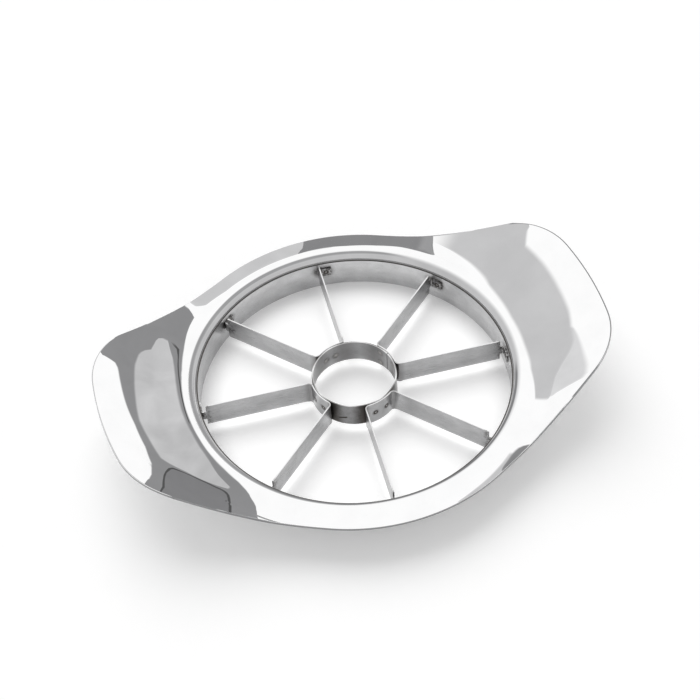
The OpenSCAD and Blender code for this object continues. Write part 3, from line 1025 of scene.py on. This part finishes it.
        self.flag("flag_left_rim", [
            (196.2, 61.9, 63.3), (198, 60.2, 65.8), (200, 58.6, 67.6), (201.5, 57.8, 69),
            (203.4, 56.8, 70.6), (204.3, 56.4, 80), (209, 55, 80), (211.2, 55, 80),
            (212.6, 55.7, 80), (215.6, 58.6, 80), (218.1, 61.8, 80)], 1.7, s.line, 0.02)
        self.flag("flag_left_box", [
            (196.8, 62.2, 62.9), (198.2, 60.6, 65.3), (200, 59, 67), (201.7, 58.2, 68.4),
            (203.8, 57.1, 70.2), (204.8, 56.7, 80), (209, 55.5, 80), (210.8, 55.5, 80),
            (212, 56.1, 80), (215, 59, 80), (217.4, 62.1, 80)], 1.5, s.left_box, 0.02)
        self.flag("flag_right", [
            (-33, 53.2, 56.8), (-31.5, 53, 57.6), (-27, 52.3, 58.2), (-24, 51.7, 58.8),
            (-20.5, 51, 60.9), (-17.5, 50.8, 63.5), (-15, 50.5, 65), (-10, 50.1, 65.4),
            (-5.5, 50, 66.3), (3, 49.9, 66.9), (11.5, 50.7, 67.7), (17.5, 51.4, 67.9),
            (19.5, 51.8, 68), (22, 52.6, 72), (24.5, 53.3, 80), (30.5, 54.8, 80),
            (38, 56, 80), (46, 57, 80)],
            1.6, s.right, 0.10, 0.04, tail=0.9)
        self.flag("flag_right_low", [
            (-31.8, 54, 57.5), (-30.6, 53.5, 59.4), (-29.6, 53.5, 61.4), (-29, 53.5, 64.6),
            (-28.2, 53.5, 66.9), (-27, 53.3, 68), (-24.5, 53, 68.2), (-21, 54, 67.5),
            (-17.5, 57, 66.7), (-13, 59, 66), (-10, 60, 65.2)], 1.9, s.right_low, 0.14)
        self.flag("flag_far", [
            (42.3, 52.2, 52.3), (43.2, 52, 53.6), (44, 51.9, 54.8), (45.3, 51.8, 57),
            (46.6, 51.8, 80), (54.5, 51.9, 80), (63, 51.1, 80), (73.5, 50.9, 80),
            (80, 51.2, 80), (86.5, 51.2, 80), (87.2, 51.2, 54), (89, 51.1, 52.7),
            (90.5, 51.1, 51.3)], 1.6, s.far, 0.03)
        self.flag("flag_far_end", [
            (42, 52.3, 52.6), (43.2, 51.9, 53.7), (44, 51.8, 55), (45.3, 51.7, 57.2),
            (46.5, 51.7, 80), (50, 51.7, 80)], 1.4, s.lip_edge, 0.3, tail=0.9)
        self.flag("flag_far_left", [
            (78, 50.8, 80), (84.5, 50.9, 80), (96, 51, 80), (109, 51.1, 80),
            (120, 51.3, 80), (128.5, 52.9, 80), (131, 55.5, 80)], 1.9, s.far_left, 0.06)
        self.flag("flag_near", [
            (298, 55.2, 80), (300, 54.6, 80), (304, 54.1, 80), (306, 53.8, 80),
            (308.5, 54.4, 80), (310.5, 56.5, 80)], 1.4, s.far, 0.3)
        self.flag("flag_near_left", [
            (281, 55.2, 80), (288, 54.4, 80), (296, 53.8, 80), (300, 53.5, 80),
            (306, 53, 80)], 1.7, s.right, 0.3)

    def camera_axes(self):
        """The camera's right, upward and backward directions, and its place."""
        s = sizes("stage")
        back = Vector((-math.cos(s.tilt) * math.sin(s.turned),
                       -math.cos(s.tilt) * math.cos(s.turned), math.sin(s.tilt)))
        level = Vector((math.cos(s.turned), -math.sin(s.turned), 0))
        above = back.cross(level)
        place = back * s.away - level * s.aside + above * s.above
        right = math.cos(s.roll) * level - math.sin(s.roll) * above
        up = math.sin(s.roll) * level + math.cos(s.roll) * above
        return right, up, back, place

    def camera(self):
        data = bpy.data.cameras.new("camera")
        data.sensor_width = SENSOR
        data.lens = sizes("stage").lens
        data.clip_start, data.clip_end = 0.01, 50
        camera = bpy.data.objects.new("camera", data)
        bpy.context.scene.collection.objects.link(camera)
        columns = [(*v, w) for v, w in zip(self.camera_axes(), (0, 0, 0, 1))]
        camera.matrix_world = Matrix(columns).transposed()
        bpy.context.scene.camera = camera


class SLICER_PT_panel(Panel):
    """Lists the steps that build the slicer"""
    bl_idname = "SLICER_PT_panel"
    bl_label = "Apple slicer"
    bl_space_type = "VIEW_3D"
    bl_region_type = "UI"
    bl_category = "Slicer"

    def draw(self, context):
        for step in STEPS:
            self.layout.operator(step.bl_idname)
        for group in GROUPS:
            held = getattr(context.scene, group)
            box = self.layout.box()
            for name in held.bl_rna.properties.keys():
                if name not in ("rna_type", "name"):
                    box.prop(held, name)


GROUPS = {"slicer_plate": SlicerPlate, "slicer_strip": SlicerStrip, "slicer_welds": SlicerWelds,
          "slicer_finish": SlicerFinish, "slicer_stage": SlicerStage}
STEPS = (SLICER_OT_plate, SLICER_OT_hoop, SLICER_OT_core_ring, SLICER_OT_blades,
         SLICER_OT_welds, SLICER_OT_stage)


def register():
    for kind in (*GROUPS.values(), *STEPS, SLICER_PT_panel):
        bpy.utils.register_class(kind)
    for name, kind in GROUPS.items():
        setattr(bpy.types.Scene, name, PointerProperty(type=kind))


def unregister():
    for name in GROUPS:
        delattr(bpy.types.Scene, name)
    for kind in (SLICER_PT_panel, *reversed(STEPS), *reversed(GROUPS.values())):
        bpy.utils.unregister_class(kind)


def main():
    register()
    bpy.ops.slicer.plate()
    bpy.ops.slicer.hoop()
    bpy.ops.slicer.core_ring()
    bpy.ops.slicer.blades()
    bpy.ops.slicer.welds()
    bpy.ops.slicer.stage()


if __name__ == "__main__":
    main()
